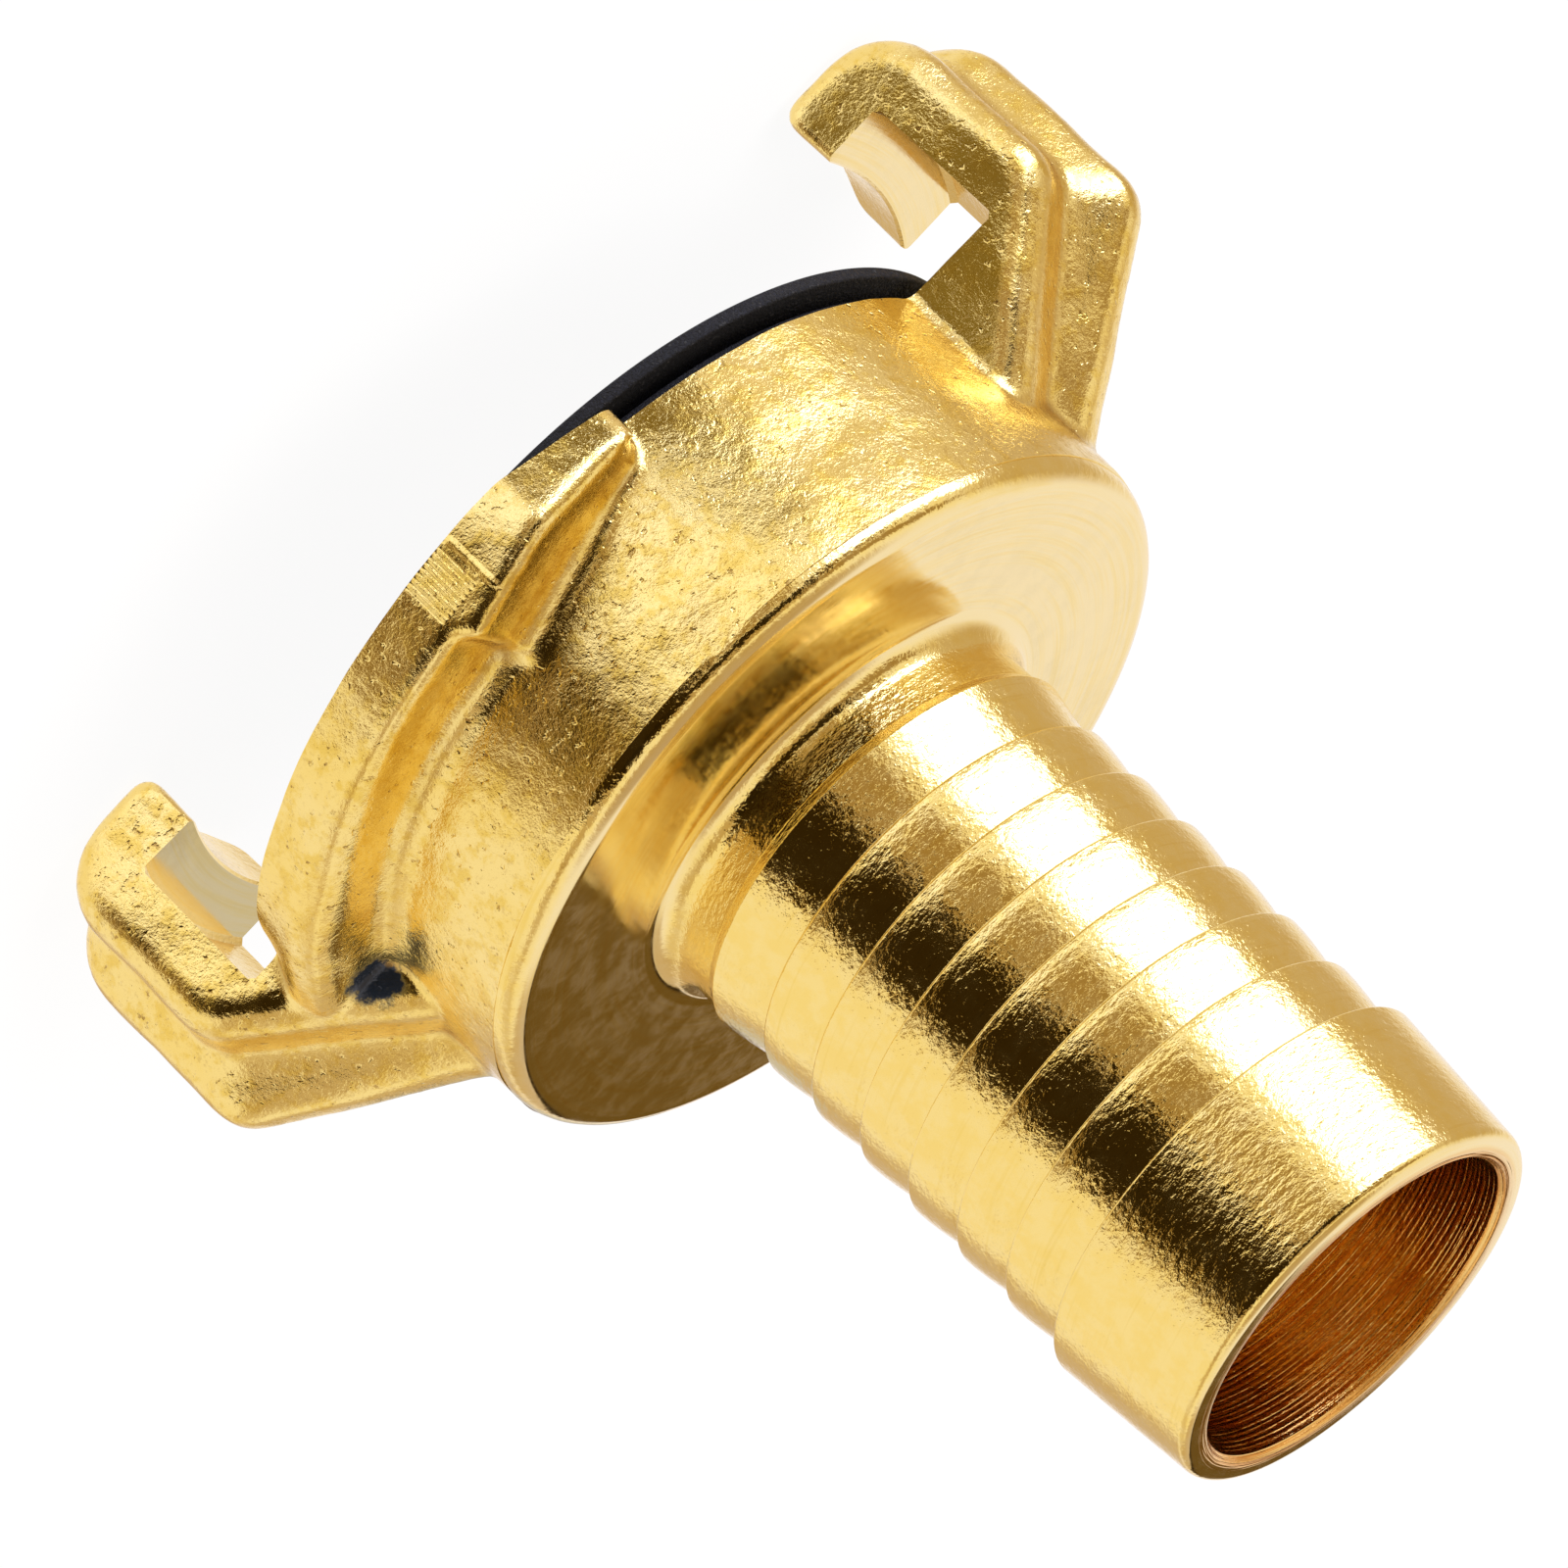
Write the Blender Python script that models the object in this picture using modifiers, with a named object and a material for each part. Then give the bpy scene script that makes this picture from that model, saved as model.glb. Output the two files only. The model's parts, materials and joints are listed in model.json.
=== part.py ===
"""Claw quick coupling with a hose tail: a one-piece brass body and the rubber form seal in its mouth.

The coupling stands on the ends of its two claws. Z runs from the claws up to the hose tail, the two
claws lie on X, and everything is the same after half a turn about Z. Lengths are in metres.
"""

import math

import bmesh
import bpy
from mathutils import Matrix, Vector

MM = 0.001
NAME = "claw_hose_coupling"
OVERALL_HEIGHT = 53.75 * MM

# Bore and hose tail
BORE_RADIUS = 8.1 * MM
BORE_CHAMFER = 0.2 * MM
TAIL_END_RADIUS = 9.5 * MM
TAIL_END_ROUND = 0.5 * MM
BARB_COUNT = 6
BARB_PITCH = 3.0 * MM
BARB_PEAK_RADIUS = 9.75 * MM
BARB_ROOT_RADIUS = 9.3 * MM
BARB_STEP_LENGTH = 0.12 * MM
FIRST_BARB_HEIGHT = 28.1 * MM
END_BARB_HEIGHT = 46.4 * MM
END_BARB_RADIUS = 10.1 * MM
NECK_RADIUS = 9.6 * MM
NECK_LAND_RADIUS = 9.9 * MM
NECK_LAND_HEIGHT = 25.05 * MM
NECK_LAND_ROUND = 0.5 * MM
NECK_FILLET = 1.3 * MM

# Head
FRONT_HEIGHT = 10.55 * MM
BACK_HEIGHT = 21.85 * MM
HEAD_FRONT_RADIUS = 18.45 * MM
HEAD_BACK_RADIUS = 18.2 * MM
HEAD_BACK_ROUND = 1.1 * MM
MOUTH_RADIUS = 15.6 * MM
MOUTH_LIP_HEIGHT = 12.55 * MM
GROOVE_RADIUS = 16.7 * MM
GROOVE_END_HEIGHT = 17.15 * MM
MOUTH_FLOOR_HEIGHT = 18.15 * MM
MOUTH_FLOOR_RADIUS = 11.6 * MM
THROAT_HEIGHT = 21.55 * MM

# Cam flange: two wings, each running from a claw to its lead-in tooth (angles in degrees from +X)
FLANGE_RADIUS = 22.5 * MM
FLANGE_INNER_RADIUS = 17.4 * MM
FLANGE_EDGE_CHAMFER = 0.35 * MM
FLANGE_FILLET = 0.9 * MM
FLANGE_DEGREES_PER_STEP = 5.0
# from angle, to angle, back height at the first, back height at the second
FLANGE_RUNS = (
    ("catch", -15.0, -74.5, 13.9 * MM, 13.65 * MM),
    ("bridge", -70.0, -82.0, 13.6 * MM, 13.6 * MM),
    ("lead", -77.5, -105.5, 14.55 * MM, 12.15 * MM),
)
# The flat that cuts a tooth's tip back starts at this angle and turns in by the second
TOOTH_FACET_START = -90.0
TOOTH_FACET_TURN = 25.7
TOOTH_CUTTER_SIZE = (12.0 * MM, 6.0 * MM, 12.0 * MM)

# Claws
CLAW_HALF_WIDTH = 6.0 * MM
CLAW_OUTER = 25.8 * MM
CLAW_TIP_REACH = 18.6 * MM
CLAW_INNER_RADIUS = 23.2 * MM
HOOK_TIP_RADIUS = 20.1 * MM
HOOK_FACE_HEIGHT = 3.25 * MM
STRUT_HEIGHT = 10.3 * MM
STRUT_SLOPE = 0.88
STRUT_SLOPE_ON_RIB = 0.675
CLAW_BURY_REACH = 16.8 * MM
CLAW_TOP_ROUND = 3.0 * MM
STRUT_ROUND = 2.5 * MM
BACK_EDGE_ROUND = 1.5 * MM
HOOK_EDGE_ROUND = 0.7 * MM
RIB_PROUD = 1.95 * MM
RIB_HALF_WIDTH = 2.8 * MM
RIB_FLAT_HALF_WIDTH = 0.5 * MM
RIB_DROP_AT_END = 0.45 * MM
CLAW_SECTIONS = 18
SECTION_CROWDING = 0.6

# Form seal
SEAL_FACE_HEIGHT = 8.85 * MM
SEAL_BORE_RADIUS = 9.4 * MM
SEAL_FLANGE_RADIUS = 18.8 * MM
SEAL_FLANGE_THICKNESS = 0.7 * MM
SEAL_SLOT_RADIUS = 17.0 * MM
SEAL_SLOT_WIDTH = 0.4 * MM
SEAL_REAR_LIP_RADIUS = 18.0 * MM
SEAL_EDGE_ROUND = 0.15 * MM
SEAL_CHAMBER_RADIUS = 12.4 * MM
SEAL_CHAMBER_START = 11.75 * MM
SEAL_SHOULDER = 1.0 * MM
FIT_GAP = 0.3 * MM

# Material name, colour, metallic, roughness
BRASS = ("brass", (0.80, 0.56, 0.20), 1.0, 0.28)
RUBBER = ("black_rubber", (0.02, 0.022, 0.025), 0.0, 0.55)

TURNED_STEPS = 72
ROUND_STEPS = 4
CUT_ALLOWANCE = 1.0 * MM
SMOOTH_ANGLE = 35.0
# How far an arc's middle lies from both of its tangents, as a part of its radius
ARC_MIDDLE = 1 - math.sqrt(0.5)


def clear_scene():
    for obj in list(bpy.data.objects):
        bpy.data.objects.remove(obj, do_unlink=True)


def make_collection(name, helper=False):
    collection = bpy.data.collections.new(name)
    collection.hide_render = helper
    bpy.context.scene.collection.children.link(collection)
    return collection


def rounded(points, radii, steps=ROUND_STEPS):
    """A closed outline whose corners with a radius become arcs."""
    outline = []
    for i, radius in enumerate(radii):
        corner = Vector(points[i])
        if radius <= 0:
            outline.append(tuple(corner))
            continue
        before = (Vector(points[i - 1]) - corner).normalized()
        after = (Vector(points[(i + 1) % len(points)]) - corner).normalized()
        half = before.angle(after) / 2
        reach = radius / math.tan(half)
        centre = corner + (before + after).normalized() * (radius / math.sin(half))
        first = corner + before * reach - centre
        last = corner + after * reach - centre
        sweep = math.atan2(first.cross(last), first.dot(last))
        for k in range(steps + 1):
            outline.append(tuple(centre + Matrix.Rotation(sweep * k / steps, 2) @ first))
    return outline


def mesh_object(name, bm, collection):
    mesh = bpy.data.meshes.new(name)
    bm.to_mesh(mesh)
    bm.free()
    obj = bpy.data.objects.new(name, mesh)
    collection.objects.link(obj)
    if collection.hide_render:
        obj.hide_render = True
        obj.display_type = "WIRE"
    return obj


def turned(name, profile, collection):
    """A closed (radius, height) profile turned all the way round Z."""
    bm = bmesh.new()
    verts = [bm.verts.new((r, 0.0, z)) for r, z in profile]
    for i, vert in enumerate(verts):
        bm.edges.new((vert, verts[(i + 1) % len(verts)]))
    obj = mesh_object(name, bm, collection)
    screw = obj.modifiers.new("Turn", "SCREW")
    screw.axis = "Z"
    screw.steps = screw.render_steps = TURNED_STEPS
    screw.use_merge_vertices = True
    screw.merge_threshold = 0.00001
    return obj


def swept(name, profile, turn, climb, collection):
    """A closed (radius, height) profile swept from one angle to another, climbing evenly."""
    start, end = turn
    steps = max(2, round(abs(end - start) / FLANGE_DEGREES_PER_STEP))
    bm = bmesh.new()
    face = bm.faces.new([bm.verts.new((r, 0.0, z)) for r, z in profile])
    bmesh.ops.rotate(bm, verts=bm.verts[:], matrix=Matrix.Rotation(math.radians(start), 3, "Z"))
    bmesh.ops.spin(
        bm,
        geom=[face, *face.edges, *face.verts],
        axis=(0, 0, 1),
        dvec=(0, 0, climb / steps),
        angle=math.radians(end - start),
        steps=steps,
    )
    bmesh.ops.recalc_face_normals(bm, faces=bm.faces[:])
    return mesh_object(name, bm, collection)


def loft(name, outlines, collection):
    """A solid through (y, outline) sections, each outline a ring of (x, height) points."""
    bm = bmesh.new()
    rings = [[bm.verts.new((x, y, z)) for x, z in outline] for y, outline in outlines]
    for near, far in zip(rings, rings[1:]):
        for i in range(len(near)):
            bm.faces.new((near[i - 1], near[i], far[i], far[i - 1]))
    bm.faces.new(rings[0])
    bm.faces.new(rings[-1])
    bmesh.ops.recalc_face_normals(bm, faces=bm.faces[:])
    return mesh_object(name, bm, collection)


def combine(target, operation, other):
    modifier = target.modifiers.new(f"{operation.title()} {other.name}", "BOOLEAN")
    modifier.operation = operation
    modifier.object = other
    modifier.solver = "EXACT"


def body_profile():
    """The turned body, down its outer side from the hose end to the mouth, then back up the bore."""
    profile = [
        (BORE_RADIUS + BORE_CHAMFER, OVERALL_HEIGHT),
        (TAIL_END_RADIUS - TAIL_END_ROUND, OVERALL_HEIGHT),
        (TAIL_END_RADIUS - ARC_MIDDLE * TAIL_END_ROUND, OVERALL_HEIGHT - ARC_MIDDLE * TAIL_END_ROUND),
        (TAIL_END_RADIUS, OVERALL_HEIGHT - TAIL_END_ROUND),
    ]
    peaks = [(END_BARB_RADIUS, END_BARB_HEIGHT)]
    for i in reversed(range(BARB_COUNT)):
        peaks.append((BARB_PEAK_RADIUS, FIRST_BARB_HEIGHT + i * BARB_PITCH))
    for radius, height in peaks:
        profile.append((radius, height))
        profile.append((BARB_ROOT_RADIUS, height - BARB_STEP_LENGTH))
    neck = rounded(
        [
            (BARB_ROOT_RADIUS, FIRST_BARB_HEIGHT - BARB_STEP_LENGTH),
            (NECK_LAND_RADIUS, NECK_LAND_HEIGHT),
            (NECK_RADIUS, NECK_LAND_HEIGHT - NECK_LAND_ROUND),
            (NECK_RADIUS, BACK_HEIGHT),
            (HEAD_BACK_RADIUS, BACK_HEIGHT),
            (HEAD_FRONT_RADIUS, FRONT_HEIGHT - CUT_ALLOWANCE),
        ],
        [0, 0, 0, NECK_FILLET, HEAD_BACK_ROUND, 0],
    )
    profile += neck[1:]
    profile += [
        (MOUTH_RADIUS, FRONT_HEIGHT - CUT_ALLOWANCE),
        (MOUTH_RADIUS, MOUTH_LIP_HEIGHT),
        (GROOVE_RADIUS, MOUTH_LIP_HEIGHT),
        (GROOVE_RADIUS, GROOVE_END_HEIGHT),
        (MOUTH_RADIUS, MOUTH_FLOOR_HEIGHT),
        (MOUTH_FLOOR_RADIUS, MOUTH_FLOOR_HEIGHT),
        (BORE_RADIUS, THROAT_HEIGHT),
        (BORE_RADIUS, OVERALL_HEIGHT - BORE_CHAMFER),
    ]
    return profile


def wing_profile(back_height):
    front = FRONT_HEIGHT - 3 * CUT_ALLOWANCE
    return [
        (FLANGE_INNER_RADIUS, front),
        (FLANGE_RADIUS, front),
        (FLANGE_RADIUS, back_height - FLANGE_EDGE_CHAMFER),
        (FLANGE_RADIUS - FLANGE_EDGE_CHAMFER, back_height),
        (HEAD_FRONT_RADIUS + FLANGE_FILLET, back_height),
        (HEAD_FRONT_RADIUS + ARC_MIDDLE * FLANGE_FILLET, back_height + ARC_MIDDLE * FLANGE_FILLET),
        (HEAD_FRONT_RADIUS, back_height + FLANGE_FILLET),
        (FLANGE_INNER_RADIUS, back_height + FLANGE_FILLET),
    ]


def edge_drop(y, half_width, radius):
    """How far a rounded edge has fallen away at this distance from the middle."""
    past = max(0.0, abs(y) - (half_width - radius))
    return radius - math.sqrt(max(0.0, radius * radius - past * past))


def rib_crest(y):
    """The height of the rib on the claw's back, from 1 along its middle to 0 beside it."""
    across = (abs(y) - RIB_FLAT_HALF_WIDTH) / (RIB_HALF_WIDTH - RIB_FLAT_HALF_WIDTH)
    return 0.5 + 0.5 * math.cos(math.pi * min(1.0, max(0.0, across)))


def claw_outline(y):
    """The claw's section at y, from the side: hook, straight back and the strut down to the head."""
    drop = edge_drop(y, CLAW_HALF_WIDTH, BACK_EDGE_ROUND)
    crest = rib_crest(y)
    outer = CLAW_OUTER - drop + crest * RIB_PROUD
    top = edge_drop(y, CLAW_HALF_WIDTH, HOOK_EDGE_ROUND) + crest * RIB_DROP_AT_END
    strut = STRUT_HEIGHT - 0.5 * drop + crest * RIB_PROUD
    slope = STRUT_SLOPE + (STRUT_SLOPE_ON_RIB - STRUT_SLOPE) * crest
    points = [
        (CLAW_TIP_REACH, top),
        (outer, top),
        (outer, strut),
        (CLAW_BURY_REACH, strut + (outer - CLAW_BURY_REACH) * slope),
        (CLAW_BURY_REACH, FRONT_HEIGHT - CUT_ALLOWANCE),
        (CLAW_TIP_REACH, HOOK_FACE_HEIGHT + CUT_ALLOWANCE),
    ]
    return rounded(points, [0, CLAW_TOP_ROUND, STRUT_ROUND, 0, 0, 0])


def claw_sections():
    """Section positions across the claw, closer together toward its rounded sides."""
    sections = []
    for i in range(CLAW_SECTIONS + 1):
        even = 2 * i / CLAW_SECTIONS - 1
        crowded = math.sin(math.pi / 2 * even)
        sections.append(CLAW_HALF_WIDTH * (even + SECTION_CROWDING * (crowded - even)))
    return sections


def build_body(parts, helpers):
    body = turned("coupling_body", body_profile(), parts)
    additions = []
    for side in (0, 180):
        for label, start, end, first, last in FLANGE_RUNS:
            turn = (start + side, end + side)
            additions.append(swept(f"{label}_{side}", wing_profile(first), turn, last - first, helpers))
        claw = loft(f"claw_{side}", [(y, claw_outline(y)) for y in claw_sections()], helpers)
        claw.rotation_euler.z = math.radians(side)
        additions.append(claw)
    for addition in additions:
        combine(body, "UNION", addition)

    turning = turned(
        "mouth_turning",
        [
            (CLAW_INNER_RADIUS, FRONT_HEIGHT),
            (CLAW_INNER_RADIUS, HOOK_FACE_HEIGHT),
            (HOOK_TIP_RADIUS, HOOK_FACE_HEIGHT),
            (HOOK_TIP_RADIUS, -CUT_ALLOWANCE),
            (0.0, -CUT_ALLOWANCE),
            (0.0, FRONT_HEIGHT),
        ],
        helpers,
    )
    combine(body, "DIFFERENCE", turning)

    for side in (0, 180):
        angle = math.radians(TOOTH_FACET_START + side)
        bm = bmesh.new()
        bmesh.ops.create_cube(bm, size=1.0)
        size = Vector(TOOTH_CUTTER_SIZE)
        bmesh.ops.scale(bm, vec=size, verts=bm.verts[:])
        bmesh.ops.translate(bm, vec=(-size.x / 2, -size.y / 2, 0), verts=bm.verts[:])
        facet = mesh_object(f"tooth_facet_{side}", bm, helpers)
        facet.location = (
            FLANGE_RADIUS * math.cos(angle),
            FLANGE_RADIUS * math.sin(angle),
            FRONT_HEIGHT,
        )
        facet.rotation_euler.z = math.radians(side - TOOTH_FACET_TURN)
        combine(body, "DIFFERENCE", facet)
    return body


def seal_profile():
    """The form seal, down its outer side from inside the head to the sealing face, then up its bore."""
    slot_front = SEAL_FACE_HEIGHT + SEAL_FLANGE_THICKNESS
    slot_back = slot_front + SEAL_SLOT_WIDTH
    lip_back = FRONT_HEIGHT - FIT_GAP
    inner_end = MOUTH_FLOOR_HEIGHT - FIT_GAP
    bead = GROOVE_RADIUS - FIT_GAP
    stem = MOUTH_RADIUS - FIT_GAP
    return [
        (SEAL_CHAMBER_RADIUS, inner_end),
        (stem - FIT_GAP, inner_end),
        (bead, GROOVE_END_HEIGHT - SEAL_SHOULDER),
        (bead, MOUTH_LIP_HEIGHT + FIT_GAP),
        (stem, MOUTH_LIP_HEIGHT + FIT_GAP),
        (stem, lip_back),
        (SEAL_REAR_LIP_RADIUS, lip_back),
        (SEAL_REAR_LIP_RADIUS, slot_back),
        (SEAL_SLOT_RADIUS, slot_back),
        (SEAL_SLOT_RADIUS, slot_front),
        (SEAL_FLANGE_RADIUS, slot_front),
        (SEAL_FLANGE_RADIUS, SEAL_FACE_HEIGHT + SEAL_EDGE_ROUND),
        (SEAL_FLANGE_RADIUS - SEAL_EDGE_ROUND, SEAL_FACE_HEIGHT),
        (SEAL_BORE_RADIUS + SEAL_SHOULDER, SEAL_FACE_HEIGHT),
        (SEAL_BORE_RADIUS, SEAL_FACE_HEIGHT + SEAL_SHOULDER),
        (SEAL_BORE_RADIUS, SEAL_CHAMBER_START),
        (SEAL_CHAMBER_RADIUS, SEAL_CHAMBER_START + SEAL_SHOULDER),
    ]


def add_material(obj, name, colour, metallic, roughness):
    material = bpy.data.materials.new(name)
    material.use_nodes = True
    shader = material.node_tree.nodes["Principled BSDF"]
    shader.inputs["Base Color"].default_value = (*colour, 1.0)
    shader.inputs["Metallic"].default_value = metallic
    shader.inputs["Roughness"].default_value = roughness
    obj.data.materials.append(material)


def shade(obj):
    obj.data.shade_smooth()
    obj.data.set_sharp_from_angle(angle=math.radians(SMOOTH_ANGLE))


def main():
    clear_scene()
    parts = make_collection(NAME)
    helpers = make_collection("cutters_and_joins", helper=True)
    body = build_body(parts, helpers)
    seal = turned("form_seal", seal_profile(), parts)
    add_material(body, *BRASS)
    add_material(seal, *RUBBER)
    shade(body)
    shade(seal)


main()
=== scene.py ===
"""Looks of the claw hose coupling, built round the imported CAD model.

The brass body is made as the real one is: a forging with soft edges, then one turned envelope that cuts
the tail, the bore, the back face and the faces inside the claws. Shapes are in millimetres in the row
frame (claw ends at height 0, hose tail upwards, claws on X) and are scaled to metres when placed.
"""

import json
import math

import bmesh
import bpy
from mathutils import Matrix, Vector, noise


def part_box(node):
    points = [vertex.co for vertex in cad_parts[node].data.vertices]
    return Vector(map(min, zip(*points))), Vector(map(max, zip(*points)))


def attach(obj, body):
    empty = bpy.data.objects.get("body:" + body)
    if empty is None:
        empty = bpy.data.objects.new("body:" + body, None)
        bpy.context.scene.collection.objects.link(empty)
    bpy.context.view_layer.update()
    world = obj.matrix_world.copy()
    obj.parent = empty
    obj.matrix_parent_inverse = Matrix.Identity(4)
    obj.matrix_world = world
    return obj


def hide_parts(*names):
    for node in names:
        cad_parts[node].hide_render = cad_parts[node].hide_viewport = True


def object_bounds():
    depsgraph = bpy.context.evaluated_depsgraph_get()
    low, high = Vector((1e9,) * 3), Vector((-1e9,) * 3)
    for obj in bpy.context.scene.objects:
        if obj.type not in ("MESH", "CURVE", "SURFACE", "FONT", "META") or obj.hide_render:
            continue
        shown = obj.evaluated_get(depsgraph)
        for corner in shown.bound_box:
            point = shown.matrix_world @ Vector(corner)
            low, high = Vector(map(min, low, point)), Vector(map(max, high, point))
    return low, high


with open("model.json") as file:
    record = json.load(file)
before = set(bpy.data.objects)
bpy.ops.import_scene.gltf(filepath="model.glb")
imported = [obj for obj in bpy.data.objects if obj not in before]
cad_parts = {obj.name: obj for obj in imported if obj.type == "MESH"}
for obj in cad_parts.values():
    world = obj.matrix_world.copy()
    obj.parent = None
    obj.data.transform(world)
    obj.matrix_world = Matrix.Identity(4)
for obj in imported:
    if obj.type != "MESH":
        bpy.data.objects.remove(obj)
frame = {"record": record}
cad_low, cad_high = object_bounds()
seal_low, seal_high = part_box("form_seal")
mounts = {m["name"]: m for m in frame["record"]["mounts"]}

MM = 0.001
TO_METRES = Matrix.Scale(MM, 4)

# Read from the frame, in millimetres
TAIL_END = mounts["hose_tail_end"]["pos_m"][2] / MM
BACK = mounts["head_back"]["pos_m"][2] / MM
SEAL_FACE = seal_low.z / MM
SEAL_INNER_END = seal_high.z / MM
SEAL_FLANGE_RADIUS = seal_high.x / MM
RIB_OUTER = cad_high.x / MM
FLANGE_RADIUS = cad_high.y / MM

# Turned surfaces
TURNED_STEPS = 288
BORE_RADIUS = 8.1
BORE_CHAMFER = 0.25
BORE_GROOVE_PITCH = 0.26
TAIL_END_RADIUS = 9.5
TAIL_END_ROUND = 0.55
BARB_COUNT = 6
BARB_PITCH = 3.0
BARB_PEAK = 9.75
BARB_ROOT = 9.3
BARB_STEP = 0.16
BARB_BULGE = 1.5
BARB_POINTS = (0.2, 0.4, 0.6, 0.8)
BARB_CREST_ROUND = 0.13
BARB_ROOT_ROUND = 0.06
FIRST_BARB = 28.1
END_BARB = 46.4
END_BARB_RADIUS = 10.1
NECK_RADIUS = 9.6
NECK_LAND_RADIUS = 9.9
NECK_LAND = 25.05
NECK_LAND_DROP = 0.5
NECK_FILLET = 1.3
HEAD_BACK_ROUND = 1.1
END_FACE_ROUND = 0.08
NECK_LAND_ROUND = 0.12
NECK_STEP_ROUND = 0.2
FRONT = 10.55
MOUTH_RADIUS = 15.6
MOUTH_LIP = 12.55
GROOVE_RADIUS = 16.7
GROOVE_END = 17.15
MOUTH_FLOOR = 18.15
MOUTH_FLOOR_RADIUS = 11.6
THROAT = 21.55
HOOK_TIP_RADIUS = 20.1
HOOK_FACE = 3.25
CLAW_INNER_RADIUS = 23.2
CLAW_CORNER_BREAK = 0.25
EDGE_BREAK = 0.12
OUTSIDE = 40.0

# Forging
HEAD_FRONT_RADIUS = 18.45
HEAD_BACK_RADIUS = 18.2
STOCK = 1.2
BAR_RADIUS = 12.0
VOXEL = 0.25
SMOOTHING = 0.5
SMOOTHING_STEPS = 5
# Length and depth of the unevenness of the forged skin
SKIN_WAVES = ((3.6, 0.10), (1.5, 0.025), (0.7, 0.010))

# Wings of the cam flange
WING_START = -15.0
WING_END = -105.5
WING_STEP = 0.75
WING_BACK_AT_CLAW = 14.3
WING_BACK_AT_JOG = 13.65
JOG_ANGLE = -76.2
JOG_WIDTH = 2.2
WING_BACK_AFTER_JOG = 14.55
WING_BACK_AT_TIP = 12.15
FACET_START = -90.0
FACET_TURN = 25.7
WING_INNER_RADIUS = 16.5
WING_FILLET = 0.9
WING_FILLET_AT_TIP = 0.05
WING_TIP_ROUND = 1.1
WING_TIP_LEAN = 0.5
WING_RUN_OUT = 16.0
# The bevel of the wing's back edge grows from the tooth towards the claw
WING_BEVEL = 0.5
WING_BEVEL_GROWTH = 0.7
WING_BEVEL_FROM = -70.0
WING_BEVEL_TO = -40.0
# How far in the middle point of a three-point bevel lies
BEVEL_MIDDLE = 0.3
RELIEF_START = -30.0
RELIEF_DEPTH = 1.0
RELIEF_TOP = 12.4

# Claws
CLAW_HALF_WIDTH = 6.0
CLAW_OUTER = 25.8
CLAW_TIP_REACH = 19.35
CLAW_TIP_ROUND = 0.9
CLAW_BURY_REACH = 16.8
STRUT_HEIGHT = 10.3
STRUT_SLOPE = 0.88
STRUT_SLOPE_ON_RIB = 0.675
CLAW_TOP_ROUND = 3.0
STRUT_ROUND = 2.5
BACK_EDGE_ROUND = 1.5
HOOK_EDGE_ROUND = 0.7
RIB_HALF_WIDTH = 2.8
RIB_FLAT_HALF_WIDTH = 0.5
RIB_DROP_AT_END = 0.45
CLAW_SECTIONS = 40
CLAW_ROUND_STEPS = 10

# Form seal, from its front face inwards. The air is what is left between seal and brass
SEAL_FLANGE = 0.7
SEAL_SLOT = 0.5
SEAL_SLOT_RADIUS = 16.6
SEAL_LIP_RADIUS = 18.0
SEAL_STEM_RADIUS = 15.3
SEAL_BEAD_RADIUS = 16.4
SEAL_BEAD_END_RADIUS = 15.0
SEAL_BEAD_TAPER = 1.0
SEAL_AIR = 0.3
SEAL_LIP_AIR = 0.12
SEAL_HOLE_RADIUS = 9.4
SEAL_HOLE_END = 11.75
SEAL_INNER_RADIUS = 12.4
SEAL_INNER_START = 12.75
SEAL_ROUND_STEPS = 4

# Edges sharper than this stay sharp in the shading
SHARP_ANGLE = math.radians(32)


def smooth_step(x):
    x = min(1.0, max(0.0, x))
    return x * x * (3 - 2 * x)


def mesh_object(name, bm):
    """An object in the scene from a bmesh, which is used up."""
    mesh = bpy.data.meshes.new(name)
    bm.to_mesh(mesh)
    bm.free()
    obj = bpy.data.objects.new(name, mesh)
    bpy.context.scene.collection.objects.link(obj)
    return obj


def evaluated(obj):
    """The object with its modifiers made part of its mesh."""
    graph = bpy.context.evaluated_depsgraph_get()
    mesh = bpy.data.meshes.new_from_object(obj.evaluated_get(graph))
    obj.modifiers.clear()
    obj.data = mesh
    return obj


def rounded(points, radii, steps=6):
    """A closed outline whose corners with a radius become arcs."""
    outline = []
    for i, radius in enumerate(radii):
        corner = Vector(points[i])
        if radius <= 0:
            outline.append(tuple(corner))
            continue
        before = (Vector(points[i - 1]) - corner).normalized()
        after = (Vector(points[(i + 1) % len(points)]) - corner).normalized()
        half = before.angle(after) / 2
        reach = radius / math.tan(half)
        centre = corner + (before + after).normalized() * (radius / math.sin(half))
        first = corner + before * reach - centre
        last = corner + after * reach - centre
        sweep = math.atan2(first.cross(last), first.dot(last))
        for k in range(steps + 1):
            outline.append(tuple(centre + Matrix.Rotation(sweep * k / steps, 2) @ first))
    return outline


def turned(name, profile, steps=TURNED_STEPS):
    """A closed (radius, height) profile turned all the way round Z."""
    bm = bmesh.new()
    verts = [bm.verts.new((r, 0.0, z)) for r, z in profile]
    for i, vert in enumerate(verts):
        bm.edges.new((vert, verts[(i + 1) % len(verts)]))
    obj = mesh_object(name, bm)
    screw = obj.modifiers.new("Turn", "SCREW")
    screw.axis = "Z"
    screw.steps = screw.render_steps = steps
    screw.use_merge_vertices = True
    screw.merge_threshold = 0.0001
    return evaluated(obj)


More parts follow.
